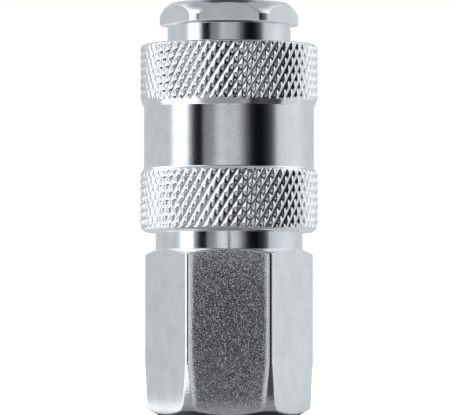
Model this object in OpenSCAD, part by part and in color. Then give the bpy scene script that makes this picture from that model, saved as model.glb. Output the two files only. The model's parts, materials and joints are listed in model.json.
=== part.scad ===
// Quick disconnect coupler: sleeve-operated ball lock, one shut-off valve, G3/8 female port.
// Origin: centre of the port end face. +Z runs along the axis to the mouth that takes the plug.

/* [Rear body] */
// Rear hexagon across its flats
rear_af = 22; // [21.8:0.1:22.4]
// Height where the rear hexagon ends and the neck begins
neck_z = 24.85; // [24.6:0.05:24.9]
// Diameter of the neck that guides the sleeve
neck_d = 22; // [21.9:0.05:22]
// Height of the face that carries the sleeve spring
spring_seat_z = 35.5; // [35:0.1:36]
// Slope of the chamfer on top of the rear hexagon, in degrees
rear_chamfer_deg = 25.5; // [20:0.5:30]
// Core diameter of the G3/8 port thread
port_d = 14.95; // [14.9:0.05:15.4]
// Depth of the port thread
port_depth = 13; // [11:0.5:13.5]

/* [Front body] */
// Overall length from the port face to the mouth
total_len = 61.8; // [61.5:0.1:62.5]
// Front hexagon across its flats
front_af = 18.8; // [18.6:0.05:19]
// Turned diameter over the front hexagon's corners
front_corner_d = 20.82; // [20.6:0.02:21]
// Height of the front hexagon
front_hex_h = 3.4; // [3:0.1:3.8]
// Diameter of the neck between the front hexagon and the sleeve
front_neck_d = 18.46; // [18.3:0.02:18.5]
// Bore that guides the plug
socket_d = 12.5; // [12.3:0.05:12.7]
// Depth of that guide bore
socket_depth = 9.3; // [8:0.1:9.5]

/* [Sleeve] */
// Diameter over the knurling
sleeve_d = 26.64; // [26.4:0.02:27]
// Diameter of the plain waist between the two knurled bands
waist_d = 25.5; // [25.2:0.05:25.9]
// Height of the sleeve's lower end at rest
sleeve_z = 27.4; // [27.35:0.05:27.6]
// Length of the sleeve
sleeve_len = 28.2; // [28:0.1:28.4]
// How far the sleeve pulls back
sleeve_travel = 2.4; // [2:0.1:2.4]

/* [Ball lock] */
// Diameter of a locking ball
ball_d = 3.5; // [3.4:0.05:3.5]
// Height of the ring of balls
ball_z = 48.2; // [48.1:0.05:48.3]
// Radius of the ring of ball centres while locked
ball_ring_r = 7; // [6.95:0.01:7]

/* [Valve] */
// Stroke of the valve
valve_travel = 3.5; // [3:0.1:3.5]
// Diameter of the bore that the plug's nose seals in
nose_d = 9.3; // [9.2:0.05:9.4]
// Height of the top of the valve tappet at rest
tappet_top_z = 44.5; // [44:0.1:44.8]

/* [Hidden] */
BALLS = 8;
BALL_NAMES = [for (i = [1 : BALLS]) str("locking_ball_", i)];

$fn = 120;
through = 0.5;                 // how far a cutter runs past the face it opens
fit = 0.05;                    // radial play of a sliding or screwed joint
hex_corner = 1 / cos(30);      // corner radius of a hexagon whose inscribed radius is 1

// rear body, from the port up
foot_r = 10.45;                // flat ring the coupler stands on
foot_chamfer_z = 0.95;
foot_chamfer_r = 12.15;
taper_r = [12.36, 12.6];       // turned taper over the lower corners, bottom and top radius
taper_z = [1.6, 6.9];
taper_out_z = 7.9;             // where the taper has run out past the corners
envelope_r = 13.2;
port_chamfer_r = 8.4;
port_chamfer_h = 0.95;
throat_r = 6.2;
throat_cone_h = 0.7;
guide_seat_z = 20.5;
chamber_r = 7.3;
joint_bore_r = 8.8;            // bore of the M18x1 screwed joint
joint_floor_z = 28.3;
joint_chamfer = 0.3;

// front body
neck_r = neck_d / 2;
front_end_z = joint_floor_z + fit;
front_thread_r = joint_bore_r - fit;
front_end_chamfer = 1.4;       // corner that holds the joint's seal
relief_r = 8.3;
relief_z = spring_seat_z - 0.9;
guide_r = 8.9;                 // outer guide of the sleeve's land
stop_groove_r = 8.25;
stop_z = 50.6;                 // underside of the stop ring
stop_h = 1.2;
front_hex_z = total_len - front_hex_h;
valve_chamber_r = 7;
seat_low_z = 37.9;             // the 45 degree seat cone starts here
nose_r = nose_d / 2;
seat_high_z = seat_low_z + valve_chamber_r - nose_r;
nose_floor_z = 45.5;           // ledge the plug's shoulder stops on
plug_r = 6.05;
socket_r = socket_d / 2;
socket_z = total_len - socket_depth;
mouth_r = 7.15;
mouth_chamfer_h = 0.9;
plug_seal_z = 43.1;
plug_groove_r = 6.4;
plug_groove_h = 2.2;

// sleeve, from its lower end up
land_z = 45.9;                 // the spring pushes on the land's lower face
land_r = guide_r + 0.1;
ramp_z = ball_z + 0.3;
recess_r = 9.8;                // room for the balls when the sleeve is back
top_bore_r = 10.6;
sleeve_top_z = sleeve_z + sleeve_len;
sleeve_r = sleeve_d / 2;
waist_r = waist_d / 2;

// springs: wire radius, mean radius, number of turns
sleeve_wire_r = 0.55;
sleeve_coil_r = 9.975;
sleeve_turns = 5;
valve_wire_r = 0.45;
valve_coil_r = 4.2;
valve_turns = 7.5;
SIDES = 8;                     // sides of a swept wire
STEPS = 20;                    // rings of the wire in each turn

washer_h = 0.8;

// valve
valve_flange_z = 36.4;
valve_flange_h = 1.35;
valve_flange_r = 5.9;
valve_seal_wire_r = 0.9;
valve_seal_ring_r = 4.9;
valve_seal_z = 38.7;
stem_r = 1.6;
stem_bottom_z = 18.4;
spigot_r = 2;
rivet_r = 2.5;
tappet_base_z = valve_flange_z + valve_flange_h + 0.03;
tappet_lip_z = 39.65;
tappet_floor_z = 40.2;
tappet_r = 4.35;
tappet_bore_r = 3;
guide_h = 2.1;
hub_r = 2.7;
hub_bore_r = 1.7;
guide_rim_r = chamber_r - fit;
guide_window_r = 6.05;
spoke_w = 2.6;

// Points on the curve from a to c that leans towards b
function bend(a, b, c, n) = [for (i = [0 : n]) let (t = i / n)
    (1 - t) * (1 - t) * a + 2 * t * (1 - t) * b + t * t * c];

// Points on an arc about centre c, angles measured from the +r direction
function arc(c, r, from, to, n) = [for (i = [0 : n]) let (a = from + (to - from) * i / n)
    c + r * [cos(a), sin(a)]];

// A turned solid from its half outline, given as [radius, height] points
module turned(outline) {
    rotate_extrude() polygon(outline);
}

// A bore along Z between two heights
module bore(r, z0, z1) {
    translate([0, 0, z0]) cylinder(r = r, h = z1 - z0);
}

// A conical bore between two heights
module cone(r0, r1, z0, z1) {
    translate([0, 0, z0]) cylinder(r1 = r0, r2 = r1, h = z1 - z0);
}

// A hexagonal prism standing on z0, with flats facing +Y and -Y
module hex_prism(af, z0, z1) {
    translate([0, 0, z0]) cylinder(r = af / 2 * hex_corner, h = z1 - z0, $fn = 6);
}

// A ring of round section
module o_ring(ring_r, wire_r, z) {
    translate([0, 0, z]) rotate_extrude() translate([ring_r, 0]) circle(r = wire_r, $fn = 48);
}

// Height of a coil's wire at turn t. The first and last turns lie flat against their seats.
function coil_z(t, turns, low, high, wire_r) = let (
    u = min(max((t - 0.75) / (turns - 1.5), 0), 1),
    closed = 0.75 * 1.05 * 2 * wire_r,
    first = low + wire_r + closed * min(t / 0.75, 1),
    rise = high - low - 2 * wire_r - 2 * closed,
    last = closed * min(max((t - turns + 0.75) / 0.75, 0), 1)
) first + rise * u + last;

// A helical compression spring as one closed swept tube
module coil(coil_r, wire_r, turns, low, high) {
    rings = floor(turns * STEPS);
    points = [for (i = [0 : rings], k = [0 : SIDES - 1]) let (
        t = i / STEPS,
        a = 360 * t,
        b = 360 * k / SIDES,
        r = coil_r + wire_r * cos(b)
    ) [r * cos(a), r * sin(a), coil_z(t, turns, low, high, wire_r) + wire_r * sin(b)]];
    sides = [for (i = [0 : rings - 1], k = [0 : SIDES - 1]) let (n = (k + 1) % SIDES)
        [i * SIDES + k, i * SIDES + n, (i + 1) * SIDES + n, (i + 1) * SIDES + k]];
    first_cap = [for (k = [0 : SIDES - 1]) SIDES - 1 - k];
    last_cap = [for (k = [0 : SIDES - 1]) rings * SIDES + k];
    polyhedron(points = points, faces = concat([last_cap, first_cap], sides), convexity = 10);
}

// Hexagonal rear half: port thread below, valve chamber above, screwed joint at its front end
module rear_body() {
    rise = (envelope_r - neck_r) * tan(rear_chamfer_deg);
    color("silver") difference() {
        union() {
            intersection() {
                hex_prism(rear_af, 0, neck_z);
                turned([
                    [0, 0], [foot_r, 0], [foot_chamfer_r, foot_chamfer_z],
                    [taper_r[0], taper_z[0]], [taper_r[1], taper_z[1]], [envelope_r, taper_out_z],
                    [envelope_r, neck_z - rise], [neck_r, neck_z], [0, neck_z]
                ]);
            }
            bore(neck_r, neck_z - 1, spring_seat_z);
        }
        cone(port_chamfer_r + through, port_chamfer_r - port_chamfer_h, -through, port_chamfer_h);
        bore(port_d / 2, -through, port_depth);
        cone(port_d / 2, throat_r, port_depth, port_depth + throat_cone_h);
        bore(throat_r, port_depth, guide_seat_z + through);
        bore(chamber_r, guide_seat_z, joint_floor_z + through);
        bore(joint_bore_r, joint_floor_z, spring_seat_z + through);
        cone(joint_bore_r, joint_bore_r + joint_chamfer + through,
            spring_seat_z - joint_chamfer, spring_seat_z + through);
    }
}

// Front half: hexagonal collar, ball cage, plug socket and the seat of the shut-off valve
module front_body() {
    corner_r = front_corner_d / 2;
    dome = bend([8.75, total_len], [9.95, total_len - 0.7], [corner_r, total_len - 2.1], 6);
    color("silver") difference() {
        union() {
            intersection() {
                hex_prism(front_af, front_hex_z, total_len);
                turned(concat(
                    [[0, front_hex_z], [corner_r - 0.25, front_hex_z], [corner_r - 0.1, front_hex_z + 0.25],
                     [corner_r, front_hex_z + 1]],
                    [for (i = [6 : -1 : 0]) dome[i]],
                    [[0, total_len]]
                ));
            }
            turned([
                [0, front_end_z], [front_thread_r - front_end_chamfer, front_end_z],
                [front_thread_r, front_end_z + front_end_chamfer],
                [front_thread_r, relief_z - 0.4], [relief_r, relief_z], [relief_r, spring_seat_z + 0.1],
                [guide_r, spring_seat_z + 0.7], [guide_r, stop_z - 0.05],
                [stop_groove_r, stop_z - 0.05], [stop_groove_r, stop_z + stop_h + 0.05],
                [front_neck_d / 2, stop_z + stop_h + 0.05], [front_neck_d / 2, front_hex_z + 1],
                [0, front_hex_z + 1]
            ]);
        }
        bore(valve_chamber_r, front_end_z - through, seat_low_z);
        cone(valve_chamber_r, nose_r, seat_low_z, seat_high_z);
        bore(nose_r, seat_low_z, nose_floor_z + through);
        bore(plug_groove_r, plug_seal_z - plug_groove_h / 2, plug_seal_z + plug_groove_h / 2);
        bore(plug_r, nose_floor_z, socket_z + through);
        bore(socket_r, socket_z, total_len + through);
        cone(socket_r, mouth_r + through, total_len - mouth_chamfer_h, total_len + through);
        for (i = [0 : BALLS - 1]) rotate([0, 0, 360 * i / BALLS]) ball_pocket();
    }
}

// Radial pocket of one ball: a straight hole whose inner end closes in and keeps the ball
module ball_pocket() {
    pocket_r = ball_d / 2 + fit;
    translate([ball_ring_r, 0, ball_z]) sphere(r = pocket_r);
    translate([ball_ring_r, 0, ball_z]) rotate([0, 90, 0]) cylinder(r = pocket_r, h = 3);
}

// Sliding sleeve with two knurl bands, a waist, and the inner land that holds the balls in
module sleeve() {
    top_edge = bend([sleeve_r, sleeve_top_z - 1], [sleeve_r, sleeve_top_z - 0.1],
        [sleeve_r - 0.65, sleeve_top_z], 5);
    low_edge = bend([sleeve_r - 1.45, sleeve_z], [sleeve_r - 0.2, sleeve_z],
        [sleeve_r, sleeve_z + 1.3], 5);
    color("gainsboro") turned(concat(
        [[neck_r + fit + 0.4, sleeve_z]],
        low_edge,
        [[sleeve_r, 36.1], [waist_r, 37], [waist_r, 46.1], [sleeve_r - 0.25, 46.9], [sleeve_r, 47.5]],
        top_edge,
        [[top_bore_r + 0.3, sleeve_top_z], [top_bore_r, sleeve_top_z - 0.3], [top_bore_r, stop_z],
         [recess_r, stop_z], [recess_r, ramp_z + recess_r - land_r], [land_r, ramp_z],
         [land_r, land_z], [neck_r + fit, land_z], [neck_r + fit, sleeve_z + 0.4]]
    ));
}

// Thrust washer between the spring's last turn and the sleeve's land
module spring_washer() {
    color("lightgray") difference() {
        bore(neck_r - 0.1, land_z - washer_h, land_z);
        bore(guide_r + 0.2, land_z - washer_h - through, land_z + through);
    }
}

// Open snap ring in the front body's groove: the sleeve's forward stop
module sleeve_stop_ring() {
    gap = 2.4;
    color("dimgray") difference() {
        bore(10.2, stop_z, stop_z + stop_h);
        bore(stop_groove_r + fit, stop_z - through, stop_z + stop_h + through);
        translate([0, -gap / 2, stop_z - through]) cube([12, gap, stop_h + 2 * through]);
    }
}

// Spring that pushes the sleeve forward
module sleeve_spring() {
    color("darkgray") coil(sleeve_coil_r, sleeve_wire_r, sleeve_turns, spring_seat_z, land_z - washer_h);
}

// Seal that grips the nose of the plug
module plug_seal() {
    color("black") o_ring(5.42, 0.95, plug_seal_z);
}

// Seal of the screwed joint, in the corner at the end of the front body
module body_seal() {
    wire_r = 0.42;
    color("black") o_ring(joint_bore_r - wire_r - 0.01, wire_r, joint_floor_z + wire_r + 0.01);
}

// Valve stem: spring flange, guide pin below, riveted spigot above
module valve_stem() {
    flange_top = valve_flange_z + valve_flange_h;
    color("goldenrod") turned([
        [0, stem_bottom_z], [stem_r - 0.4, stem_bottom_z], [stem_r, stem_bottom_z + 0.4],
        [stem_r, valve_flange_z - 1], [stem_r + 0.6, valve_flange_z], [valve_flange_r - 0.3, valve_flange_z],
        [valve_flange_r, valve_flange_z + 0.3], [valve_flange_r, flange_top - 0.2],
        [valve_flange_r - 0.2, flange_top], [spigot_r, flange_top], [spigot_r, tappet_floor_z + 0.03],
        [rivet_r, tappet_floor_z + 0.03], [rivet_r - 0.2, tappet_floor_z + 0.6],
        [rivet_r - 0.9, tappet_floor_z + 0.85], [0, tappet_floor_z + 0.85]
    ]);
}

// Tappet that the plug's nose pushes: a cup with four flow windows
module valve_tappet() {
    window_w = 2.8;
    window_z = [tappet_floor_z + 0.3, tappet_top_z - 1.2];
    color("gold") difference() {
        turned([
            [spigot_r + 0.03, tappet_base_z], [3.98, tappet_base_z], [3.98, tappet_lip_z],
            [tappet_r, tappet_lip_z + 0.15], [tappet_r, tappet_top_z - 0.4],
            [tappet_r - 0.4, tappet_top_z], [tappet_bore_r + 0.2, tappet_top_z],
            [tappet_bore_r, tappet_top_z - 0.2], [tappet_bore_r, tappet_floor_z],
            [spigot_r + 0.03, tappet_floor_z]
        ]);
        for (a = [0 : 90 : 270]) rotate([0, 0, a])
            translate([1, -window_w / 2, window_z[0]]) cube([4, window_w, window_z[1] - window_z[0]]);
    }
}

// Seal ring that closes against the seat cone
module valve_seal() {
    color("black") o_ring(valve_seal_ring_r, valve_seal_wire_r, valve_seal_z);
}

// Spring that shuts the valve
module valve_spring() {
    color("darkgray") coil(valve_coil_r, valve_wire_r, valve_turns, guide_seat_z + guide_h, valve_flange_z);
}

// Spider that guides the stem and carries the valve spring
module valve_guide() {
    top = guide_seat_z + guide_h;
    color("goldenrod") difference() {
        union() {
            difference() {
                bore(guide_rim_r, guide_seat_z, top);
                bore(guide_window_r, guide_seat_z - through, top + through);
            }
            bore(hub_r, guide_seat_z - 1.3, top + 1.6);
            for (a = [30 : 120 : 270]) rotate([0, 0, a]) translate([0, -spoke_w / 2, guide_seat_z])
                cube([guide_window_r + 0.6, spoke_w, guide_h]);
        }
        bore(hub_bore_r, guide_seat_z - 2, top + 3);
    }
}

// One locking ball, number n of the ring
module locking_ball(n) {
    color("whitesmoke") rotate([0, 0, 360 * (n - 1) / BALLS])
        translate([ball_ring_r, 0, ball_z]) sphere(r = ball_d / 2);
}

rear_body();
front_body();
sleeve();
spring_washer();
sleeve_spring();
sleeve_stop_ring();
plug_seal();
body_seal();
valve_stem();
valve_tappet();
valve_seal();
valve_spring();
valve_guide();
for (n = [1 : BALLS])
    locking_ball(n);
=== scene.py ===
# A sleeve-operated quick disconnect coupler, standing on its threaded port. The file follows the
# coupler as it is put together. Sizes of pieces are in millimetres, and MM turns them into metres.
import json
import math

import bmesh
import bpy
import numpy as np
from mathutils import Matrix, Vector


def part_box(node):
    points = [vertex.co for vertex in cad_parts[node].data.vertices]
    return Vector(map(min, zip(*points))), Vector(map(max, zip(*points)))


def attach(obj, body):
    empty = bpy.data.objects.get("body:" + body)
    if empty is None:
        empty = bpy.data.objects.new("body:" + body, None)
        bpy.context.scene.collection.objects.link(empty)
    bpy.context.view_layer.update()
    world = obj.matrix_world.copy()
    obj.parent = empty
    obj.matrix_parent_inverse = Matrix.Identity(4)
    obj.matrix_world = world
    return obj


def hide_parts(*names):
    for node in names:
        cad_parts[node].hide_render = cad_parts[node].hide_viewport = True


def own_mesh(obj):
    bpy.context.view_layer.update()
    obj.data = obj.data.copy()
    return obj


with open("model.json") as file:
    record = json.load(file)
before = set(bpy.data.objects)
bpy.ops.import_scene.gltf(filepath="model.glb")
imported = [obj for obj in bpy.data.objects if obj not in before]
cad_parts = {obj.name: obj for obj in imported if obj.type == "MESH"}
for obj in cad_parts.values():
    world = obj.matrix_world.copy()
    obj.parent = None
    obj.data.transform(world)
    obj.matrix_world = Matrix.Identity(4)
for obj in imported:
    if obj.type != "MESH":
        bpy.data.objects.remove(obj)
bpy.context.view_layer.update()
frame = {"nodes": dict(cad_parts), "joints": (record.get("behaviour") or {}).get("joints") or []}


# ---------------------------------------------------------------------------------- rear body
# The rear half, turned from 22 mm hexagonal steel bar and plated with nickel. Its pipe thread
# takes the hose fitting below, and the front half screws into the bore of its neck.

MM = 0.001


def box_mm(node):
    """Lowest and highest corner of a CAD node."""
    low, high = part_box(node)
    return low / MM, high / MM


class Wire:
    """One output in a node tree. Arithmetic on it adds Math nodes, and node() adds any other."""

    def __init__(self, tree, socket=None):
        self.tree = tree
        self.socket = socket

    def node(self, kind, settings=None, inputs=None, out=0):
        """Adds a node, sets it up, gives its sockets values or wires, and returns one output."""
        made = self.tree.nodes.new(kind)
        for name, value in (settings or {}).items():
            if name == "stops":
                elements = made.color_ramp.elements
                while len(elements) < len(value):
                    elements.new(1.0)
                for element, (place, level) in zip(elements, value):
                    element.position = place
                    element.color = (level, level, level, 1)
            else:
                setattr(made, name, value)
        for key, value in (inputs or {}).items():
            if isinstance(value, Wire):
                self.tree.links.new(value.socket, made.inputs[key])
            else:
                made.inputs[key].default_value = value
        return Wire(self.tree, made.outputs[out])

    def math(self, operation, *values):
        return self.node("ShaderNodeMath", {"operation": operation}, dict(enumerate(values)))

    def __add__(self, other):
        return self.math("ADD", self, other)

    def __sub__(self, other):
        return self.math("SUBTRACT", self, other)

    def __rsub__(self, other):
        return self.math("SUBTRACT", other, self)

    def __mul__(self, other):
        return self.math("MULTIPLY", self, other)

    def __truediv__(self, other):
        return self.math("DIVIDE", self, other)

    __radd__ = __add__
    __rmul__ = __mul__

    def at_least(self, other):
        return self.math("MAXIMUM", self, other)

    def at_most(self, other):
        return self.math("MINIMUM", self, other)

    def rise(self, low, high):
        """0 below low, 1 above high, and a smooth slope between."""
        return self.node(
            "ShaderNodeMapRange", {"interpolation_type": "SMOOTHSTEP"},
            {"Value": self, "From Min": low, "From Max": high},
        )

    def parts(self):
        """The x, y and z of a vector."""
        return [self.node("ShaderNodeSeparateXYZ", inputs={0: self}, out=axis) for axis in "XYZ"]


def material(name, colour, roughness, metallic=1.0):
    """A material of one colour, its shader node, and a wire to build its tree on."""
    made = bpy.data.materials.new(name)
    made.use_nodes = True
    shader = made.node_tree.nodes["Principled BSDF"]
    shader.inputs["Base Color"].default_value = (*colour, 1)
    shader.inputs["Roughness"].default_value = roughness
    shader.inputs["Metallic"].default_value = metallic
    return made, shader, Wire(made.node_tree)


def places(start):
    """The point of the surface, in millimetres."""
    point = start.node("ShaderNodeTexCoord", out="Object")
    return point.node(
        "ShaderNodeVectorMath", {"operation": "SCALE"}, {0: point, "Scale": 1 / MM}
    )


def grain(point, size, detail=2.0):
    """Cloudy noise from 0 to 1, with features of that size."""
    return point.node(
        "ShaderNodeTexNoise", {"noise_dimensions": "3D"},
        {"Vector": point, "Scale": 1 / size, "Detail": detail, "Roughness": 0.55}, out="Fac",
    )


def lathe_marks(point, spacing):
    """The fine rings of a turned surface: noise that hardly changes round the axis."""
    x, y, height = point.parts()
    radius = x.math("SQRT", x * x + y * y)
    rings = point.node(
        "ShaderNodeCombineXYZ", inputs={"X": radius, "Y": grain(point, 9, 0) * 0.3, "Z": height}
    )
    return grain(rings, spacing, 3.0)


def attribute(start, name):
    """A value that the mesh carries, such as edge or flat."""
    return start.node("ShaderNodeAttribute", {"attribute_name": name}, out="Fac")


def between(factor, first, second):
    """The colour that goes from first to second as factor goes from 0 to 1."""
    return factor.node(
        "ShaderNodeMix", {"data_type": "RGBA"},
        {"Factor": factor, "A": (*first, 1), "B": (*second, 1)}, out="Result",
    )


def finish(shader, relief=None, colour=None, roughness=None):
    """Feeds a shader its varying inputs. Relief is in thousandths of a millimetre."""
    bump = relief and relief.node(
        "ShaderNodeBump", inputs={"Height": relief, "Distance": MM / 1000, "Filter Width": 0.5},
        out="Normal",
    )
    for socket, wire in (("Normal", bump), ("Base Color", colour), ("Roughness", roughness)):
        if wire:
            wire.tree.links.new(wire.socket, shader.inputs[socket])


def plated(name, peel=3.0, rings=0.8, pores=5.5, gloss=0.05):
    """Bright nickel on turned steel. The hexagon's flats keep the drawn bar's fine orange peel,
    and tiny frosted spots where the bar was pitted."""
    bright, dull = (0.845, 0.872, 0.895), (0.77, 0.797, 0.823)
    made, shader, start = material(name, bright, gloss)
    point = places(start)
    flat = attribute(start, "flat")
    drawn = grain(point, 0.21, 1.0) * peel
    cut = lathe_marks(point, 0.17) * rings + grain(point, 0.22, 1.0) * pores
    worn = attribute(start, "edge")
    cloud = grain(point, 3.0, 4.0).rise(0.3, 0.65)
    colour = between((cloud + worn).at_most(1.0), dull, bright)
    frosted = grain(point, 0.13, 1.0).rise(0.5, 0.8) * (flat * 0.08 + 0.14)
    roughness = gloss + grain(point, 0.7, 3.0) * 0.05 + frosted
    finish(shader, flat * drawn + (1 - flat) * cut, colour, roughness)
    return made


def bend(a, b, c, steps):
    """Points along the curve from a to c that leans towards b."""
    a, b, c = Vector(a), Vector(b), Vector(c)
    shares = (n / steps for n in range(steps + 1))
    return [a * (1 - t) ** 2 + b * (2 * t * (1 - t)) + c * t * t for t in shares]


def hexagonal(across, corner, blend=0.2):
    """Points round a hexagon with flats on +Y and -Y whose corners are turned down to a radius, as
    (radius, angle). The edge between a flat and a turned corner is rounded off."""
    crease = math.acos(across / 2 / corner)
    soft = min(blend / corner, 0.8 * (math.pi / 6 - crease))
    flat_end = crease - soft
    half = [(across / 2 / math.cos(flat_end * n / 8), flat_end * n / 8) for n in range(8)]
    on_flat = Vector((across / 2, across / 2 * math.tan(flat_end)))
    on_crease = Vector((across / 2, across / 2 * math.tan(crease)))
    on_corner = Vector((math.cos(crease + soft), math.sin(crease + soft))) * corner
    for point in bend(on_flat, on_crease, on_corner, 4):
        half.append((point.length, math.atan2(point.y, point.x)))
    half.append((corner, (crease + soft + math.pi / 6) / 2))
    sector = [(r, -a) for r, a in reversed(half[1:])] + half + [(corner, math.pi / 6)]
    return [(r, a + math.pi * (2 * n - 3) / 6) for n in range(6) for r, a in sector]


def rounded(corners, steps=3):
    """Outline rows (radius, height, angle, edge) from corners (radius, height, rounding, angle).
    Each rounding is a curve between two guard rows, which keep the faces beside it flat."""
    corners = [(*corner, 0.0)[:4] for corner in corners]
    rows = []
    for n, (r, z, rounding, angle) in enumerate(corners):
        here = Vector((r, z, angle))
        if not rounding:
            rows.append((*here, 0.0))
            continue
        back, on = (
            Vector((other[0], other[1], other[3])) - here
            for other in (corners[n - 1], corners[(n + 1) % len(corners)])
        )
        half = back.xy.angle(on.xy, math.pi) / 2
        reach = min(rounding / math.tan(half), 0.35 * back.length, 0.35 * on.length)
        start, end = here + back.normalized() * reach, here + on.normalized() * reach
        rows.append((*start.lerp(here + back, min(0.15, 0.1 / max(back.length, 0.1))), 0.0))
        rows += [(*point, 1.0) for point in bend(start, here, end, steps)]
        rows.append((*end.lerp(here + on, min(0.15, 0.1 / max(on.length, 0.1))), 0.0))
    return rows


def divided(rows, spacing, where):
    """Adds rows to the stretches whose two ends are both at a place that where(r, z) accepts."""
    out = []
    for here, on in zip(map(np.array, rows), map(np.array, rows[1:] + rows[:1])):
        pieces = 1
        if where(*here[:2]) and where(*on[:2]):
            pieces = max(1, math.ceil(math.dist(here[:2], on[:2]) / spacing))
        out += [tuple(here + (on - here) * n / pieces) for n in range(pieces)]
    return out


def solid(name, mesh):
    """Merges the mesh's doubled points, shades it smooth, and makes it a piece."""
    work = bmesh.new()
    work.from_mesh(mesh)
    bmesh.ops.remove_doubles(work, verts=work.verts, dist=1e-7)
    bmesh.ops.dissolve_degenerate(work, edges=work.edges, dist=1e-8)
    loose = [vertex for vertex in work.verts if not vertex.link_faces]
    bmesh.ops.delete(work, geom=loose, context="VERTS")
    work.to_mesh(mesh)
    work.free()
    mesh.shade_smooth()
    piece = bpy.data.objects.new(name, mesh)
    bpy.context.scene.collection.objects.link(piece)
    return piece


def wrapped(name, outlines, flats=None, gap=False):
    """A solid skinned over outlines that stand round Z, each a list of rows up its outside and
    down its inside. Flats is a hexagon's (across, low, high), and a gap leaves the ring open."""
    rows = np.array(outlines, float)
    columns, points = rows.shape[:2]
    radius, height, turn = rows[..., 0], rows[..., 1], rows[..., 2]
    where = np.stack([radius * np.cos(turn), radius * np.sin(turn), height], axis=-1) * MM
    i, k = np.meshgrid(np.arange(columns - gap), np.arange(points), indexing="ij")
    j, m = (i + 1) % columns, (k + 1) % points
    on_axis = radius.max(axis=0) < 1e-6
    quads = np.stack([i * points + k, j * points + k, j * points + m, i * points + m], axis=-1)
    faces = quads[~(on_axis[k] & on_axis[m])].tolist()
    if gap:
        last = (columns - 1) * points
        faces += [list(range(points)), list(range(last + points - 1, last - 1, -1))]
    mesh = bpy.data.meshes.new(name)
    mesh.from_pydata(where.reshape(-1, 3).tolist(), [], faces)
    across, low, high = flats or (1e3, 0, 0)
    middle = np.round(turn / (math.pi / 3) - 0.5) + 0.5
    flat = radius * np.cos(turn - middle * math.pi / 3) > across / 2 - 0.005
    flat = flat & (height > low) & (height < high)
    for label, values in (("edge", rows[..., 3]), ("flat", flat.astype(float))):
        mesh.attributes.new(label, "FLOAT", "POINT").data.foreach_set("value", values.ravel())
    return solid(name, mesh)


def turned(name, rows, columns=128, opening=0.0):
    """A round solid from its outline rows. An opening, in radians, leaves a gap on the +X side."""
    turns = [opening + (math.tau - 2 * opening) * n / columns for n in range(columns)]
    if opening:
        turns.append(math.tau - opening)
    outlines = [[(r, z, turn, edge) for r, z, _, edge in rows] for turn in turns]
    return wrapped(name, outlines, gap=bool(opening))


def tree_with(name, sizes):
    """A Geometry Nodes tree that takes a mesh, these sizes and a material, and its input wires."""
    tree = bpy.data.node_groups.new(name, "GeometryNodeTree")
    kinds = [("Mesh", "NodeSocketGeometry"), *((size, "NodeSocketFloat") for size in sizes)]
    for label, kind in kinds + [("Material", "NodeSocketMaterial")]:
        tree.interface.new_socket(label, in_out="INPUT", socket_type=kind)
    tree.interface.new_socket("Mesh", in_out="OUTPUT", socket_type="NodeSocketGeometry")
    entry = tree.nodes.new("NodeGroupInput")
    return tree, {socket.name: Wire(tree, socket) for socket in entry.outputs if socket.name}


def end_tree(tree, made, finish_material):
    """Realize Instances and Set Material, which end every tree."""
    made = made.node("GeometryNodeRealizeInstances", inputs={"Geometry": made})
    made = made.node(
        "GeometryNodeSetMaterial", inputs={"Geometry": made, "Material": finish_material}
    )
    tree.links.new(made.socket, tree.nodes.new("NodeGroupOutput").inputs["Mesh"])


def grown(piece, tree, **inputs):
    """Runs a tree on a piece, and keeps the result as the piece's own plain mesh."""
    modifier = piece.modifiers.new(tree.name, "NODES")
    modifier.node_group = tree
    for item in tree.interface.items_tree:
        if item.in_out == "INPUT" and item.name in inputs:
            modifier[item.identifier] = inputs[item.name]
    graph = bpy.context.evaluated_depsgraph_get()
    mesh = bpy.data.meshes.new_from_object(piece.evaluated_get(graph), depsgraph=graph)
    mesh.name = piece.name
    piece.modifiers.remove(modifier)
    piece.data = mesh
    mesh.shade_smooth()
    return piece


def polar(wire):
    """In a geometry tree: the position, its angle in turns, its radius and its height."""
    point = wire.node("GeometryNodeInputPosition")
    x, y, z = point.parts()
    return point, y.math("ARCTAN2", y, x) / math.tau, x.math("SQRT", x * x + y * y), z


def at_radius(mesh, point, share, selection=True):
    """Moves points of the mesh to that share of their distance from the axis."""
    scale = point.node("ShaderNodeCombineXYZ", inputs={"X": share, "Y": share, "Z": 1.0})
    target = point.node("ShaderNodeVectorMath", {"operation": "MULTIPLY"}, {0: point, 1: scale})
    return mesh.node(
        "GeometryNodeSetPosition",
        inputs={"Geometry": mesh, "Selection": selection, "Position": target},
    )


def zigzag(turns):
    """From 0 up to 1 and back over each whole turn."""
    return turns.math("PINGPONG", turns, 0.5) * 2


def thread_tree():
    """Cuts a helical V groove into a wall. Way is 1 for a nut's thread and -1 for a screw's."""
    tree, size = tree_with(
        "Screw thread", ["Crest Radius", "Depth", "Pitch", "Low", "High", "Way"]
    )
    point, turn, radius, height = polar(size["Mesh"])
    wave = zigzag(height / size["Pitch"] - turn)
    groove = (wave * 1.25 - 0.125).at_least(0.0).at_most(1.0) * size["Depth"]
    run_out = size["Pitch"] * 0.5
    groove = groove * (height - size["Low"]).rise(0.0, run_out)
    groove = groove * (size["High"] - height).rise(0.0, run_out)
    target = size["Way"] * (size["Way"] * size["Crest Radius"] + groove).at_least(
        size["Way"] * radius
    )
    near = radius.math("COMPARE", radius, size["Crest Radius"], size["Pitch"] * 0.75)
    here = near * height.math("GREATER_THAN", height, size["Low"])
    here = here * height.math("LESS_THAN", height, size["High"])
    end_tree(tree, at_radius(size["Mesh"], point, target / radius, here), size["Material"])
    return tree


screw_thread = thread_tree()


def threaded(piece, finish_material, crest, depth, pitch, low, high, way):
    """Cuts one thread between two heights."""
    return grown(piece, screw_thread, **{
        "Crest Radius": crest * MM, "Depth": depth * MM, "Pitch": pitch * MM, "Low": low * MM,
        "High": high * MM, "Way": float(way), "Material": finish_material,
    })


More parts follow.
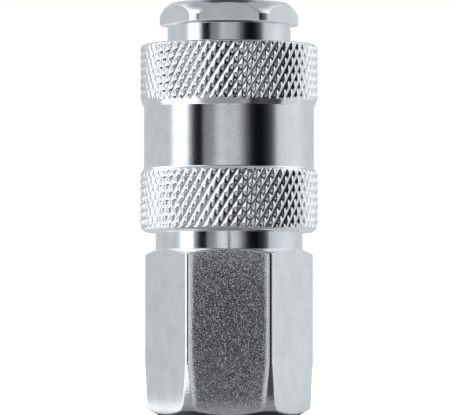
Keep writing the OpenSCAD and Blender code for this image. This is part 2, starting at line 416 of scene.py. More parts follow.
def fitted(piece, body, node, finish_material=None):
    """The piece moves with its body, stands for its CAD node, and takes its finish."""
    if finish_material:
        piece.data.materials.clear()
        piece.data.materials.append(finish_material)
    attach(piece, body)
    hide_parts(node)


rear_low, rear_high = box_mm("rear_body")
REAR_ACROSS = rear_high.y - rear_low.y
SPRING_SEAT = rear_high.z
NECK = 11.0
NECK_FOOT = 24.85
TOP_SLOPE = math.tan(math.radians(25.5))
FOOT = 10.45
FOOT_SLOPE = 0.95 / 1.7
FOOT_CORNER = 12.12
TAPER_LOW, TAPER_HIGH, TAPER_STEPS = (12.27, 1.6), (12.54, 7.6), 5
BROKEN_CORNER = 12.55
PORT_CREST, PORT_PITCH, PORT_CUT, PORT_END = 7.475, 1.337, 0.8, 13.0
PORT_MOUTH = 0.925
JOINT_CREST, JOINT_PITCH, JOINT_CUT, JOINT_FLOOR = 8.8, 1.0, 0.5, 28.3
GUIDE_SEAT, CHAMBER, THROAT = 20.5, 7.3, 6.2


def rear_outlines():
    """The rear half's outlines: a hexagon whose corners are turned down, more so at its foot."""
    def ring(corner):
        return hexagonal(REAR_ACROSS, corner)

    tapers = []
    for n in range(1, TAPER_STEPS + 1):
        radius, height = Vector(TAPER_LOW).lerp(TAPER_HIGH, n / TAPER_STEPS)
        tapers.append([(r, height, 0, a) for r, a in ring(radius)])
    outlines = []
    for foot, low, top, *taper in zip(
        ring(FOOT_CORNER), ring(TAPER_LOW[0]), ring(BROKEN_CORNER), *tapers
    ):
        turn = top[1]
        upper = [
            (NECK, NECK_FOOT, 0.08),
            (NECK, SPRING_SEAT, 0.2),
            (JOINT_CREST + 0.3, SPRING_SEAT, 0.05),
            (JOINT_CREST, SPRING_SEAT - 0.3, 0),
            (JOINT_CREST, JOINT_FLOOR, 0.1),
            (CHAMBER, JOINT_FLOOR, 0.15),
            (CHAMBER, GUIDE_SEAT, 0.1),
            (THROAT, GUIDE_SEAT, 0.15),
            (THROAT, PORT_END + 0.7, 0.2),
            (PORT_CREST, PORT_END, 0),
            (PORT_CREST, PORT_MOUTH, 0),
            (PORT_CREST + PORT_MOUTH, 0, 0.1),
        ]
        rows = rounded([
            (FOOT, 0, 0.1, foot[1]),
            (foot[0], (foot[0] - FOOT) * FOOT_SLOPE, 0.13, foot[1]),
            (low[0], TAPER_LOW[1], 0.3, low[1]),
            *taper,
            (top[0], TAPER_HIGH[1] + 0.15, 0, turn),
            (top[0], NECK_FOOT - (top[0] - NECK) * TOP_SLOPE, 0.13, turn),
            *((*corner, turn) for corner in upper),
        ])
        in_port = lambda r, z: r < PORT_CREST + PORT_MOUTH + 0.005 and z <= PORT_END
        in_joint = lambda r, z: abs(r - JOINT_CREST) < 0.01
        rows = divided(rows, PORT_PITCH / 9, in_port)
        outlines.append(divided(rows, JOINT_PITCH / 6, in_joint))
    return outlines


rear_nickel = plated("rear body nickel")
rear_flats = (REAR_ACROSS, 0.2, NECK_FOOT - 0.05)
rear_half = wrapped("rear_half", rear_outlines(), rear_flats)
threaded(rear_half, rear_nickel, PORT_CREST, PORT_CUT, PORT_PITCH, -1.0, PORT_END - 0.2, 1)
threaded(rear_half, rear_nickel, JOINT_CREST, JOINT_CUT, JOINT_PITCH, JOINT_FLOOR + 1.0, 40, 1)
fitted(rear_half, "body", "rear_body")


# ---------------------------------------------------------------------------------- valve guide
# A brass spider that drops into the rear half. Its hub guides the valve's stem, the valve's spring
# stands on its rim and spokes, and air passes through its three windows.

def turned_brass(name):
    """Machined brass, yellow and bright, with rings from the tool and a faint brown bloom."""
    yellow, brown = (0.86, 0.62, 0.27), (0.62, 0.4, 0.17)
    made, shader, start = material(name, yellow, 0.22)
    point = places(start)
    relief = lathe_marks(point, 0.14) * 1.4 + grain(point, 0.15) * 0.4
    bloom = grain(point, 1.6, 4.0).rise(0.45, 0.75)
    colour = between(bloom * (1 - attribute(start, "edge")), yellow, brown)
    finish(shader, relief, colour, 0.18 + bloom * 0.14)
    return made


def prism(name, outline, low, high):
    """An upright solid with that outline, given counter-clockwise as (x, y) points."""
    count = len(outline)
    points = [(x * MM, y * MM, z * MM) for z in (low, high) for x, y in outline]
    sides = [(n, (n + 1) % count, count + (n + 1) % count, count + n) for n in range(count)]
    ends = [tuple(reversed(range(count))), tuple(range(count, 2 * count))]
    mesh = bpy.data.meshes.new(name)
    mesh.from_pydata(points, [], sides + ends)
    return solid(name, mesh)


def sector(inner, outer, middle, spoke, steps=8):
    """Outline of the window between two spokes, whose sides run parallel to the spokes."""
    def arc(radius, sense):
        half = 60 - math.degrees(math.asin(spoke / 2 / radius))
        turns = (math.radians(middle + sense * half * (1 - 2 * n / steps)) for n in range(steps + 1))
        return [(radius * math.cos(a), radius * math.sin(a)) for a in turns]
    return arc(outer, -1) + arc(inner, 1)


def applied(piece):
    """Keeps what the piece's modifiers make as its own plain mesh."""
    graph = bpy.context.evaluated_depsgraph_get()
    mesh = bpy.data.meshes.new_from_object(piece.evaluated_get(graph), depsgraph=graph)
    piece.modifiers.clear()
    piece.data = mesh
    return piece


def cut(piece, cutters, bevel=0.0):
    """Cuts the cutters out of the piece, and breaks the edges that they leave."""
    for cutter in cutters:
        boolean = piece.modifiers.new("cut", "BOOLEAN")
        boolean.object = cutter
        boolean.solver = "EXACT"
    applied(piece)
    for cutter in cutters:
        bpy.data.objects.remove(cutter)
    if bevel:
        breaking = piece.modifiers.new("broken edges", "BEVEL")
        breaking.width = bevel * MM
        breaking.segments = 2
        breaking.limit_method = "ANGLE"
        breaking.angle_limit = math.radians(50)
        applied(piece)
    piece.data.set_sharp_from_angle(angle=math.radians(38))
    return piece


guide_low, guide_high = box_mm("valve_guide")
GUIDE_TOP = GUIDE_SEAT + 2.1
GUIDE_RIM = guide_high.x
HUB, HUB_BORE, SPOKE, WINDOW_RIM = 2.7, 1.7, 2.6, 6.05

stem_guide = turned("stem_guide", rounded([
    (HUB_BORE + 0.25, guide_low.z, 0.08), (HUB, guide_low.z, 0.25), (HUB, GUIDE_SEAT, 0.15),
    (GUIDE_RIM, GUIDE_SEAT, 0.15), (GUIDE_RIM, GUIDE_TOP, 0.2), (HUB, GUIDE_TOP, 0.2),
    (HUB, guide_high.z, 0.3), (HUB_BORE + 0.25, guide_high.z, 0.08),
    (HUB_BORE, guide_high.z - 0.25, 0), (HUB_BORE, guide_low.z + 0.25, 0),
]), columns=96)
windows = [
    prism("window", sector(HUB + 0.35, WINDOW_RIM, middle, SPOKE), GUIDE_SEAT - 1, GUIDE_TOP + 1)
    for middle in (90, 210, 330)
]
cut(stem_guide, windows)
brass = turned_brass("turned brass")
fitted(stem_guide, "body", "valve_guide", brass)


# ---------------------------------------------------------------------------------- valve
# The shut-off valve: a brass stem with a spring flange, a tappet riveted on top of it that the
# plug's nose pushes, and a rubber ring between the two that closes against the seat.

stem_low, stem_high = box_mm("valve_stem")
FLANGE, FLANGE_TOP, FLANGE_RADIUS = 36.4, 37.75, 5.9
STEM, SPIGOT, RIVET = 1.6, 2.0, 2.5
RIVET_FOOT = stem_high.z - 0.82

stem = turned("stem", rounded([
    (0, stem_low.z, 0), (STEM - 0.4, stem_low.z, 0.1), (STEM, stem_low.z + 0.4, 0.1),
    (STEM, FLANGE - 1, 0.4), (STEM + 0.6, FLANGE, 0.15), (FLANGE_RADIUS - 0.3, FLANGE, 0.1),
    (FLANGE_RADIUS, FLANGE + 0.3, 0.1), (FLANGE_RADIUS, FLANGE_TOP, 0.2),
    (SPIGOT, FLANGE_TOP, 0.1), (SPIGOT, RIVET_FOOT, 0.05), (RIVET, RIVET_FOOT, 0.1),
    (RIVET - 0.2, RIVET_FOOT + 0.57, 0.25), (RIVET - 0.9, stem_high.z, 0.4), (0, stem_high.z, 0),
]), columns=72)
fitted(stem, "valve", "valve_stem", brass)

tappet_low, tappet_high = box_mm("valve_tappet")
TAPPET, TAPPET_BORE, TAPPET_FLOOR, TAPPET_LIP = tappet_high.x, 3.0, 40.2, 39.65
TAPPET_SHANK, WINDOW = 3.98, 2.8

tappet = turned("tappet", rounded([
    (SPIGOT + 0.03, tappet_low.z, 0.05), (TAPPET_SHANK, tappet_low.z, 0.1),
    (TAPPET_SHANK, TAPPET_LIP, 0.05),
    (TAPPET, TAPPET_LIP + 0.15, 0.1), (TAPPET, tappet_high.z - 0.4, 0.15),
    (TAPPET - 0.4, tappet_high.z, 0.15), (TAPPET_BORE + 0.2, tappet_high.z, 0.08),
    (TAPPET_BORE, tappet_high.z - 0.2, 0.08), (TAPPET_BORE, TAPPET_FLOOR, 0.15),
    (SPIGOT + 0.03, TAPPET_FLOOR, 0.05),
]), columns=96)
tappet_windows = []
for turn in range(4):
    half = WINDOW / 2
    outline = [Vector(p) for p in ((1, -half), (6, -half), (6, half), (1, half))]
    outline = [Matrix.Rotation(turn * math.pi / 2, 2) @ p for p in outline]
    tappet_windows.append(prism("window", outline, TAPPET_FLOOR + 0.3, tappet_high.z - 1.2))
cut(tappet, tappet_windows, bevel=0.12)
fitted(tappet, "valve", "valve_tappet", brass)


def moulded_ring(name, node):
    """A rubber ring of round section, with the faint flash line that its mould leaves inside and
    outside. Its size comes from its CAD node."""
    low, high = box_mm(node)
    wire = (high.z - low.z) / 2
    centre, height = high.x - wire, (high.z + low.z) / 2
    rows = []
    points = 40
    for n in range(points):
        a = math.tau * n / points
        r = wire * (1 - 0.03 * min(1, 4 * abs(math.sin(a))))
        rows.append((centre + r * math.cos(a), height + r * math.sin(a), 0.0, 0.0))
    return turned(name, rows)


def nitrile():
    """Black nitrile rubber: matt, faintly grainy, with a trace of assembly grease."""
    made, shader, start = material("black nitrile", (0.012, 0.012, 0.013), 0.5, 0.0)
    point = places(start)
    grease = grain(point, 1.4, 3.0).rise(0.45, 0.65)
    relief = grain(point, 0.12, 3.0) * 5 + grain(point, 0.9) * 6
    colour = between(grain(point, 0.5, 3.0), (0.009, 0.009, 0.01), (0.022, 0.022, 0.024))
    finish(shader, relief, colour, 0.55 - grease * 0.25)
    return made


rubber = nitrile()
seat_ring = moulded_ring("seat_ring", "valve_seal")
fitted(seat_ring, "valve", "valve_seal", rubber)


# ---------------------------------------------------------------------------------- valve spring
# A cold-coiled spring of hard-drawn wire with closed ends. It stands on the guide and pushes the
# stem's flange. The real spring shortens when the plug opens the valve; this one keeps its length.

def coil_tree():
    """A helical compression spring. Its end turns close up on their seats."""
    tree, size = tree_with(
        "Coil spring", ["Coil Radius", "Wire Radius", "Turns", "Low", "High", "Steps", "Closed"]
    )
    start = size["Mesh"]
    turn = start.node("GeometryNodeInputIndex") / size["Steps"]
    closed, wire = size["Closed"], size["Wire Radius"]
    lift = closed * wire * 2.1
    first = (turn / closed).at_most(1.0) * lift
    last = ((turn - size["Turns"] + closed) / closed).at_least(0.0) * lift
    active = ((turn - closed) / (size["Turns"] - 2 * closed)).at_least(0.0).at_most(1.0)
    span = size["High"] - size["Low"] - 2 * wire - 2 * lift
    angle = turn * math.tau
    path = start.node("ShaderNodeCombineXYZ", inputs={
        "X": size["Coil Radius"] * angle.math("COSINE", angle),
        "Y": size["Coil Radius"] * angle.math("SINE", angle),
        "Z": size["Low"] + wire + first + active * span + last,
    })
    line = start.node(
        "GeometryNodeMeshLine", inputs={"Count": size["Turns"] * size["Steps"] + 1}, out="Mesh"
    )
    line = line.node("GeometryNodeSetPosition", inputs={"Geometry": line, "Position": path})
    line = line.node("GeometryNodeMeshToCurve", inputs={"Mesh": line})
    round_wire = start.node(
        "GeometryNodeCurvePrimitiveCircle", inputs={"Resolution": 14, "Radius": wire}
    )
    made = line.node("GeometryNodeCurveToMesh", inputs={
        "Curve": line, "Profile Curve": round_wire, "Fill Caps": True,
    })
    end_tree(tree, made, size["Material"])
    return tree


def drawn_steel():
    """Hard-drawn spring wire: dark, oiled, with fine scale and rubbed spots."""
    made, shader, start = material("drawn spring steel", (0.42, 0.42, 0.43), 0.33)
    point = places(start)
    scale = grain(point, 0.35, 4.0).rise(0.4, 0.7)
    relief = grain(point, 0.1, 2.0) * 2.5 + scale * 1.2
    finish(shader, relief, between(scale, (0.5, 0.5, 0.51), (0.27, 0.26, 0.26)), 0.24 + scale * 0.2)
    return made


def coiled(name, node, coil, wire, turns, finish_material):
    """A spring between its CAD node's two ends."""
    low, high = box_mm(node)
    spring = bpy.data.objects.new(name, bpy.data.meshes.new(name))
    bpy.context.scene.collection.objects.link(spring)
    grown(spring, spring_coil, **{
        "Coil Radius": coil * MM, "Wire Radius": wire * MM, "Turns": float(turns),
        "Low": low.z * MM, "High": high.z * MM, "Steps": 36.0, "Closed": 0.75,
        "Material": finish_material,
    })
    spring.data.set_sharp_from_angle(angle=math.radians(60))
    return spring


def shortened(spring, node, joint):
    """A spring whose lower end stays on its seat. It reads the joint's travel, but its length is not
    shrunk by it.
    """
    low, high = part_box(node)
    travel = next(j["range_m"][1] for j in frame["joints"] if j["name"] == joint)
    length = high.z - low.z
    fitted(spring, "body", node)
    1 - travel / length
    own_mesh(spring)


spring_coil = coil_tree()
spring_steel = drawn_steel()
valve_coil = coiled(
    "valve_coil", "valve_spring", coil=4.2, wire=0.45, turns=7.5, finish_material=spring_steel
)
shortened(valve_coil, "valve_spring", "valve_slide")


# ---------------------------------------------------------------------------------- front body
# The front half, turned from 19 mm hexagonal bar and nickel plated: the hexagonal collar, the
# socket for the plug, the cage for the balls, and below them the screwed joint and valve seat.

front_low, front_high = box_mm("front_body")
TOP = front_high.z
FRONT_ACROSS = front_high.y - front_low.y
COLLAR_CORNER, COLLAR_FOOT, COLLAR_NECK = 10.41, TOP - 3.4, 9.23
CAGE, STOP_GROOVE, STOP_FOOT, STOP_HEIGHT = 8.9, 8.25, 50.6, 1.2
SCREW, SCREW_RELIEF, RELIEF_FOOT = 8.75, 8.3, 34.6
SOCKET, SOCKET_FLOOR, MOUTH, DOME_TOP = 6.25, 52.5, 7.15, 8.75
PLUG_BORE, NOSE_BORE, NOSE_FLOOR = 6.05, 4.65, 45.5
SEAL_GROOVE, SEAL_HEIGHT = 6.4, 43.1
SEAT_LOW, SEAT_HIGH, VALVE_BORE = 37.9, 40.25, 7.0
BALL_HEIGHT, BALL_RING, BALL_RADIUS = 48.2, 7.0, 1.75


def front_outlines():
    """The front half's outlines. Only the collar's domed hexagon depends on the angle."""
    dome = bend((COLLAR_CORNER, TOP - 2.1), (9.95, TOP - 0.7), (DOME_TOP, TOP), steps=24)

    def dome_height(radius):
        """Height at which the dome has narrowed to that radius."""
        above = next(n for n, point in enumerate(dome) if point.x <= radius + 1e-9)
        if not above:
            return dome[0].y
        low, high = dome[above - 1], dome[above]
        return low.y + (high.y - low.y) * (low.x - radius) / (low.x - high.x)

    outlines = []
    for reach, turn in hexagonal(FRONT_ACROSS, COLLAR_CORNER, blend=0.07):
        crease = dome_height(reach)
        rounding = 0.14 if reach < COLLAR_CORNER - 0.02 else 0.3
        shares = ((n / 8) ** 1.3 for n in range(1, 9))
        rim = []
        for share in shares:
            r = reach + (DOME_TOP - reach) * share
            rim.append((r, dome_height(r), 0))
        corners = [
            (VALVE_BORE, JOINT_FLOOR + 0.05, 0.08),
            (SCREW - 1.4, JOINT_FLOOR + 0.05, 0.1),
            (SCREW, JOINT_FLOOR + 1.45, 0),
            (SCREW, RELIEF_FOOT - 0.4, 0),
            (SCREW_RELIEF, RELIEF_FOOT, 0.1),
            (SCREW_RELIEF, SPRING_SEAT + 0.1, 0.1),
            (CAGE, SPRING_SEAT + 0.7, 0.1),
            (CAGE, STOP_FOOT - 0.05, 0.1),
            (STOP_GROOVE, STOP_FOOT - 0.05, 0.08),
            (STOP_GROOVE, STOP_FOOT + STOP_HEIGHT + 0.05, 0.08),
            (COLLAR_NECK, STOP_FOOT + STOP_HEIGHT + 0.05, 0.15),
            (COLLAR_NECK, COLLAR_FOOT, 0.06),
            (reach - 0.25, COLLAR_FOOT, 0.1),
            (reach, COLLAR_FOOT + 0.3, 0.12),
            (reach, crease, rounding),
            *rim,
            (MOUTH, TOP, 0.12),
            (SOCKET, TOP - 0.9, 0.15),
            (SOCKET, SOCKET_FLOOR, 0.1),
            (PLUG_BORE, SOCKET_FLOOR, 0.08),
            (PLUG_BORE, NOSE_FLOOR, 0.1),
            (NOSE_BORE, NOSE_FLOOR, 0.15),
            (NOSE_BORE, SEAL_HEIGHT + 1.1, 0.06),
            (SEAL_GROOVE, SEAL_HEIGHT + 1.1, 0.1),
            (SEAL_GROOVE, SEAL_HEIGHT - 1.1, 0.1),
            (NOSE_BORE, SEAL_HEIGHT - 1.1, 0.06),
            (NOSE_BORE, SEAT_HIGH, 0.1),
            (VALVE_BORE, SEAT_LOW, 0.1),
        ]
        rows = rounded([(*corner, turn) for corner in corners])
        on_screw = lambda r, z: abs(r - SCREW) < 0.01 and z < RELIEF_FOOT
        outlines.append(divided(rows, JOINT_PITCH / 6, on_screw))
    return outlines


def ball_cutter(angle):
    """A straight hole from outside with a round end, which keeps the ball from falling inwards."""
    radius, length = BALL_RADIUS + 0.05, 3.0
    bottom = [math.pi / 2 * n / 10 for n in range(11)]
    rows = [(radius * math.sin(a), -radius * math.cos(a), 0, 0) for a in bottom]
    cutter = turned("pocket", rows + [(radius, length, 0, 0), (0, length, 0, 0)], columns=40)
    aim = Matrix.Rotation(angle, 4, "Z") @ Matrix.Translation((BALL_RING * MM, 0, BALL_HEIGHT * MM))
    cutter.data.transform(aim @ Matrix.Rotation(math.pi / 2, 4, "Y"))
    return cutter


balls = sorted(name for name in frame["nodes"] if name.startswith("locking_ball_"))
ball_angles = [math.tau * n / len(balls) for n in range(len(balls))]
front_nickel = plated("front body nickel")
front_flats = (FRONT_ACROSS, COLLAR_FOOT + 0.2, TOP)
front_half = wrapped("front_half", front_outlines(), front_flats)
threaded(front_half, front_nickel, SCREW, JOINT_CUT, JOINT_PITCH, JOINT_FLOOR, RELIEF_FOOT, -1)
cut(front_half, [ball_cutter(angle) for angle in ball_angles])
fitted(front_half, "body", "front_body", front_nickel)

plug_ring = moulded_ring("plug_ring", "plug_seal")
fitted(plug_ring, "body", "plug_seal", rubber)
joint_ring = moulded_ring("joint_ring", "body_seal")
fitted(joint_ring, "body", "body_seal", rubber)


# ---------------------------------------------------------------------------------- ball lock
# Eight hardened, polished bearing balls in the cage's pockets. The sleeve's land holds them in,
# and they move out by a fraction of the sleeve's travel.

def polished_steel():
    """A bearing ball's mirror finish, with hair-fine scratches and a thin film of oil."""
    made, shader, start = material("polished ball steel", (0.76, 0.77, 0.78), 0.06)
    point = places(start)
    oil = grain(point, 0.8, 3.0)
    colour = between(oil, (0.8, 0.81, 0.82), (0.68, 0.69, 0.7))
    finish(shader, grain(point, 0.08, 2.0) * 0.12, colour, 0.04 + oil * 0.06)
    return made


ball_steel = polished_steel()
for name, angle in zip(balls, ball_angles):
    work = bmesh.new()
    bmesh.ops.create_icosphere(work, subdivisions=4, radius=BALL_RADIUS * MM)
    mesh = bpy.data.meshes.new(name)
    work.to_mesh(mesh)
    work.free()
    mesh.transform(Matrix.Rotation(angle, 4, "Z") @ Matrix.Translation(
        (BALL_RING * MM, 0, BALL_HEIGHT * MM)
    ))
    number = name.rsplit("_", 1)[1]
    fitted(solid("ball_" + number, mesh), "ball_" + number, name, ball_steel)


# ---------------------------------------------------------------------------------- sleeve spring
# The return spring stands on the rear half's neck, round the cage. A thrust washer lies between
# its last turn and the sleeve, and an open snap ring stops the sleeve at the front.

return_coil = coiled(
    "return_coil", "sleeve_spring", coil=9.975, wire=0.55, turns=5, finish_material=spring_steel
)
shortened(return_coil, "sleeve_spring", "sleeve_slide")


def stamped_steel():
    """Bare rolled strip: grey, a little rough, tumbled until its edges are bright."""
    made, shader, start = material("stamped steel", (0.6, 0.6, 0.6), 0.3)
    point = places(start)
    worn = attribute(start, "edge")
    relief = grain(point, 0.22, 3.0) * 2.5 * (1 - worn)
    colour = between(worn, (0.52, 0.52, 0.53), (0.72, 0.72, 0.73))
    finish(shader, relief, colour, 0.34 + grain(point, 1.0) * 0.1 - worn * 0.12)
    return made


washer_low, washer_high = box_mm("spring_washer")
washer = turned("thrust_washer", rounded([
    (CAGE + 0.2, washer_low.z, 0.12), (washer_high.x, washer_low.z, 0.12),
    (washer_high.x, washer_high.z, 0.12), (CAGE + 0.2, washer_high.z, 0.12),
]))
fitted(washer, "sleeve_carrier", "spring_washer", stamped_steel())

RING_INSIDE, RING_OUTSIDE, RING_GAP = STOP_GROOVE + 0.05, 10.2, 2.4
ring_rows = rounded([
    (RING_INSIDE, STOP_FOOT, 0.15), (RING_OUTSIDE, STOP_FOOT, 0.25),
    (RING_OUTSIDE, STOP_FOOT + STOP_HEIGHT, 0.25), (RING_INSIDE, STOP_FOOT + STOP_HEIGHT, 0.15),
])
ring_end = math.asin(RING_GAP / 2 / RING_INSIDE)
snap_ring = turned("snap_ring", ring_rows, columns=120, opening=ring_end)
snap_ring.data.set_sharp_from_angle(angle=math.radians(60))
fitted(snap_ring, "body", "sleeve_stop_ring", spring_steel)


# ---------------------------------------------------------------------------------- sleeve
# The sleeve that is pulled back to let the plug go: turned steel, diamond knurled in two bands
# for grip, nickel plated after knurling, with a plain waist between the bands.

sleeve_low, sleeve_high = box_mm("sleeve")
SLEEVE, WAIST = sleeve_high.x, 12.75
SLEEVE_LOW, SLEEVE_HIGH = sleeve_low.z, sleeve_high.z
LOWER_BAND_TOP, WAIST_LOW, WAIST_HIGH = 36.1, 37.0, 46.1
UPPER_BAND_LOW = 47.5
LAND, LAND_FOOT, RAMP_FOOT, BALL_ROOM = 9.0, 45.9, 48.5, 9.8
TOP_BORE, GUIDE_BORE = 10.6, 11.05
KNURL_DEPTH, KNURL_CREST = 0.38, 0.12
MAIN_RIDGES, MAIN_LEAD = 61, 2.19
CROSS_RIDGES, CROSS_LEAD, CROSS_DEPTH = 59, 2.5, 0.25
BLANK_COLUMNS, BLANK_SPACING = 600, 0.185


def knurl_tree():
    """Rolls two crossing sets of V grooves into a band. The mesh's own outline is the blank, so
    the diamonds run out by themselves where the outline turns down."""
    tree, size = tree_with("Diamond knurl", [
        "Radius", "Low", "High", "Fade", "Depth", "Main Ridges", "Main Lead", "Cross Ridges",
        "Cross Lead", "Cross Depth", "Crest",
    ])
    point, turn, radius, height = polar(size["Mesh"])

    def ridges(count, lead, depth):
        """Height over the groove's bottom: V grooves between narrow flat crests."""
        wave = zigzag(turn * count - height / lead)
        return size["Depth"] - depth + (wave * (1 + size["Crest"])).at_most(1.0) * depth

    main = ridges(size["Main Ridges"], size["Main Lead"], size["Depth"])
    crossing = ridges(size["Cross Ridges"], 0 - size["Cross Lead"], size["Cross Depth"])
    left = size["Depth"] - main.at_most(crossing)
    left = left * (height - size["Low"]).rise(0.0, size["Fade"])
    left = left * (size["High"] - height).rise(0.0, size["Fade"])
    target = radius.at_most(size["Radius"] - left)
    end_tree(tree, at_radius(size["Mesh"], point, target / radius), size["Material"])
    return tree


def sleeve_rows():
    """The blank's outline, with rows close enough for the knurling on its two bands."""
    low_edge = bend(
        (SLEEVE - 1.45, SLEEVE_LOW), (SLEEVE - 0.2, SLEEVE_LOW), (SLEEVE, SLEEVE_LOW + 1.3), 8
    )
    top_edge = bend(
        (SLEEVE, SLEEVE_HIGH - 1), (SLEEVE, SLEEVE_HIGH - 0.1), (SLEEVE - 0.65, SLEEVE_HIGH), 8
    )
    low_edge, top_edge = ([(*point, 0) for point in edge] for edge in (low_edge, top_edge))
    corners = rounded([
        (GUIDE_BORE + 0.4, SLEEVE_LOW, 0.1),
        *low_edge,
        (SLEEVE, LOWER_BAND_TOP, 0),
        (WAIST, WAIST_LOW, 0.12),
        (WAIST, WAIST_HIGH, 0.12),
        (SLEEVE - 0.25, WAIST_HIGH + 0.8, 0.1),
        (SLEEVE, UPPER_BAND_LOW, 0),
        *top_edge,
        (TOP_BORE + 0.3, SLEEVE_HIGH, 0.12),
        (TOP_BORE, SLEEVE_HIGH - 0.3, 0.1),
        (TOP_BORE, STOP_FOOT, 0.1),
        (BALL_ROOM, STOP_FOOT, 0.15),
        (BALL_ROOM, RAMP_FOOT + BALL_ROOM - LAND, 0.1),
        (LAND, RAMP_FOOT, 0.15),
        (LAND, LAND_FOOT, 0.1),
        (GUIDE_BORE, LAND_FOOT, 0.1),
        (GUIDE_BORE, SLEEVE_LOW + 0.4, 0),
    ], steps=1)
    on_band = lambda r, z: r > WAIST - 0.01 and not WAIST_LOW - 0.1 < z < WAIST_HIGH + 0.1
    return divided(corners, BLANK_SPACING, on_band)


knurl = knurl_tree()
sleeve_nickel = plated("sleeve nickel", rings=0.4)
sliding_sleeve = turned("sliding_sleeve", sleeve_rows(), columns=BLANK_COLUMNS)
bands = (         # lowest and highest place, and the length over which the grooves run out
    (SLEEVE_LOW + 0.3, WAIST_LOW + 0.1, 0.45),
    (UPPER_BAND_LOW - 0.7, SLEEVE_HIGH - 0.1, 0.3),
)
for low, high, fade in bands:
    grown(sliding_sleeve, knurl, **{
        "Radius": SLEEVE * MM, "Low": low * MM, "High": high * MM, "Fade": fade * MM,
        "Depth": KNURL_DEPTH * MM, "Crest": KNURL_CREST,
        "Main Ridges": float(MAIN_RIDGES), "Main Lead": MAIN_LEAD * MM,
        "Cross Ridges": float(CROSS_RIDGES), "Cross Lead": CROSS_LEAD * MM,
        "Cross Depth": CROSS_DEPTH * MM, "Material": sleeve_nickel,
    })
fitted(sliding_sleeve, "sleeve", "sleeve")


# ---------------------------------------------------------------------------------- studio
# A pale floor under plain soft light. White panels and dark gaps stand round the coupler, and
# the plating mirrors them. None of it is part of the coupler.

LENS_DISTANCE, LENS_HEIGHT, LENS_LENGTH = 0.6, 0.0136, 312.4
LENS_RADIUS = 0.031
AIM = Vector((0.000225, 0, 0.0312))
NEAREST = 0.01
FLOOR_RADIUS = 0.7
STAND_RADIUS, STAND_HOLE, STAND_GREY = 0.118, 0.0092, 0.42
SOFTBOX_HEIGHT, SOFTBOX_SIZE, SOFTBOX_POWER = 1.5, 1.6, 30

camera = bpy.data.objects.new("camera", bpy.data.cameras.new("camera"))
camera.location = (AIM.x, -LENS_DISTANCE, LENS_HEIGHT)
camera.rotation_euler = (AIM - camera.location).to_track_quat("-Z", "Y").to_euler()
camera.data.lens = LENS_LENGTH
camera.data.clip_start = NEAREST
bpy.context.scene.collection.objects.link(camera)
bpy.context.scene.camera = camera
bpy.context.scene.view_settings.view_transform = "Standard"

PANEL = 1.5       # brightness of the brightest panel, where a white page is 1
PLATING = 0.87    # share of the light that nickel sends back
WALLS = (         # level with the coupler, as degrees to the right of the camera and brightness
    (-180, 0.76), (-90, 0.75), (-84, 0.86), (-79, 1.08), (-60, 1.08), (-55, 0.70), (-50, 0.36),
    (-46, 0.15), (-40, 0.10), (-37, 0.16), (-33, 0.48), (-24, 0.50), (-20, 0.56), (-16, 0.67),
    (-10, 0.73), (-4, 0.69), (11, 0.66), (16, 0.57), (20, 0.46), (24, 0.35), (29, 0.19),
    (34, 0.10), (39, 0.07), (46, 0.08), (54, 0.19), (60, 0.32), (64, 0.48), (69, 0.75),
    (75, 0.79), (102, 0.87), (130, 0.79), (180, 0.76),
)
SOFTBOXES = (     # the same, above the walls
    (-180, 0.75), (-142, 0.78), (-132, 1.10), (-42, 1.10), (-30, 0.60), (-12, 0.42), (8, 0.36),
    (22, 0.16), (52, 0.14), (64, 0.60), (76, 1.00), (120, 1.00), (136, 0.78), (180, 0.75),
)


def round_about(around, levels):
    """Brightness in a direction, which is given in turns from behind the coupler."""
    stops = [(a / 360 + 0.5, shown ** 2.2 / PLATING / PANEL) for a, shown in levels]
    level = around.node("ShaderNodeValToRGB", {"stops": stops}, {"Fac": around})
    return level.node("ShaderNodeRGBToBW", inputs={0: level})


def facing(x, y):
    """Turns round from behind the coupler, by way of its left side."""
    return x.math("ARCTAN2", x, 0 - y) / math.tau + 0.5


world = bpy.data.worlds.new("studio")
bpy.context.scene.world = world
world.use_nodes = True
world.node_tree.nodes.clear()
start = Wire(world.node_tree)
x, y, z = start.node("ShaderNodeTexCoord", out="Generated").parts()
aside = x.math("ABSOLUTE", x)
# The walls give way to the softboxes, and those to a dimmer ceiling.
high = z.rise(0.14, 0.34)
overhead = z.rise(0.62, 0.85)
level = round_about(facing(x, y), WALLS) * (1 - high) + round_about(facing(x, y), SOFTBOXES) * high
level = level * (1 - overhead) + overhead * (0.45 / PANEL)
# A dark board hangs above and behind the coupler.
flag = z.rise(0.78, 0.86) * y.rise(0.06, 0.2) * (1 - aside.rise(0.2, 0.3))
level = level * (1 - flag * 0.85)
# The wall round the camera is brighter near the floor.
front = (0 - y).rise(0.84, 0.96)
level = level * (1 + front * (0.4 - z.rise(0.012, 0.09) * 0.55))
light = between(level, (0.0, 0.001, 0.003), (0.975, 1.0, 1.02))
seen = start.node("ShaderNodeLightPath", out="Is Camera Ray")
room = start.node("ShaderNodeBackground", inputs={"Color": light, "Strength": PANEL})
white = start.node("ShaderNodeBackground", inputs={"Color": (1, 1, 1, 1), "Strength": 1.0})
shown = start.node("ShaderNodeMixShader", inputs={0: seen, 1: room, 2: white})
leave = world.node_tree.nodes.new("ShaderNodeOutputWorld")
world.node_tree.links.new(shown.socket, leave.inputs["Surface"])


def disc(name, radius, place, turn=0.0, hole=0.0):
    """A round sheet that belongs to the studio."""
    work = bmesh.new()
    bmesh.ops.create_circle(work, cap_ends=not hole, segments=96, radius=radius)
    if hole:
        bmesh.ops.create_circle(work, segments=96, radius=hole)
        bmesh.ops.bridge_loops(work, edges=work.edges[:])
    mesh = bpy.data.meshes.new(name)
    work.to_mesh(mesh)
    work.free()
    sheet = bpy.data.objects.new(name, mesh)
    sheet.matrix_world = Matrix.Translation(place) @ Matrix.Rotation(turn, 4, "X")
    bpy.context.scene.collection.objects.link(sheet)
    return sheet
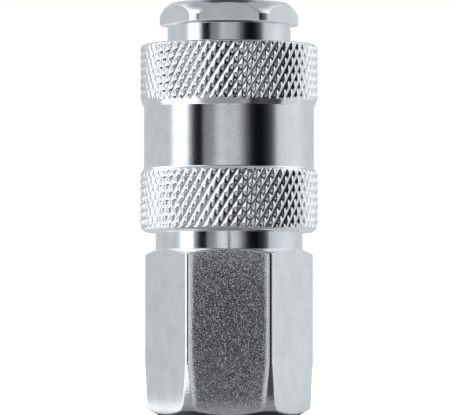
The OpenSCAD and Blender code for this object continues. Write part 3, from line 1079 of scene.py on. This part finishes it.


# The floor can be looked through from below. The plating mirrors the stand instead of it, a greyer
# copy of the floor that carries painted shade.
floor = disc("floor", FLOOR_RADIUS, (0, 0, -0.00002))
floor.visible_glossy = False
paper, shader, start = material("pale paper", (0.9, 0.9, 0.9), 0.9, 0.0)
shader.inputs["Emission Color"].default_value = (1, 1, 1, 1)
shader.inputs["Emission Strength"].default_value = 0.5
under = start.node("ShaderNodeNewGeometry", out="Backfacing")
clear = start.node("ShaderNodeBsdfTransparent")
surface = Wire(paper.node_tree, shader.outputs[0])
surface = start.node("ShaderNodeMixShader", inputs={0: under, 1: surface, 2: clear})
paper_out = paper.node_tree.nodes["Material Output"]
paper.node_tree.links.new(surface.socket, paper_out.inputs["Surface"])
floor.data.materials.append(paper)

# The stand's top carries painted shade and light: painted shade in front of the coupler, where the
# camera's own shade falls, a painted shadow of the coupler darkest at its right corner, and painted
# light that makes its far left glow. The plating mirrors it, and the hole keeps it out of the port.
stand = disc("stand", STAND_RADIUS, (0, 0, -0.0003), hole=STAND_HOLE)
stand_top, shader, start = material("stand top", (STAND_GREY,) * 3, 0.5, 0.0)
shader.inputs["Specular IOR Level"].default_value = 0.0
shader.inputs["Emission Strength"].default_value = 1.0
x, y, z = places(start).parts()
# Painted shade: the camera's own shade on the stand in front of the coupler.
shade = (0 - y).rise(-4, 12) * (1 - x.math("ABSOLUTE", x).rise(36, 50))
# Painted shadow: the coupler's shadow, darkest at the stand's right front corner.
corner = x.rise(28, 38) * (0 - y).rise(16, 26)
paint = (STAND_GREY - shade * STAND_GREY / 2) * (1 - corner * 0.9)
# Painted light: the stand's far left glows, as though lit by the left panel, though it is no lamp.
painted_glow = (0 - x).rise(44, 54) * 0.6
for socket, tone in (("Base Color", paint), ("Emission Color", painted_glow)):
    grey = tone.node("ShaderNodeCombineColor", inputs={0: tone, 1: tone, 2: tone})
    start.tree.links.new(grey.socket, shader.inputs[socket])
stand.data.materials.append(stand_top)

# The camera's own dark front, which the flats that face it mirror.
lens = disc("lens", LENS_RADIUS, (0, -LENS_DISTANCE - 0.002, LENS_HEIGHT), math.pi / 2)
lens.data.materials.append(material("dark lens", (0.01, 0.01, 0.01), 0.5, 0.0)[0])
for sheet in (stand, lens):
    sheet.visible_camera = False
    sheet.visible_diffuse = False
    sheet.visible_shadow = False

softbox = bpy.data.objects.new("softbox", bpy.data.lights.new("softbox", "AREA"))
softbox.location = (0, 0, SOFTBOX_HEIGHT)
softbox.data.shape = "DISK"
softbox.data.size = SOFTBOX_SIZE
softbox.data.energy = SOFTBOX_POWER
softbox.visible_glossy = False
bpy.context.scene.collection.objects.link(softbox)
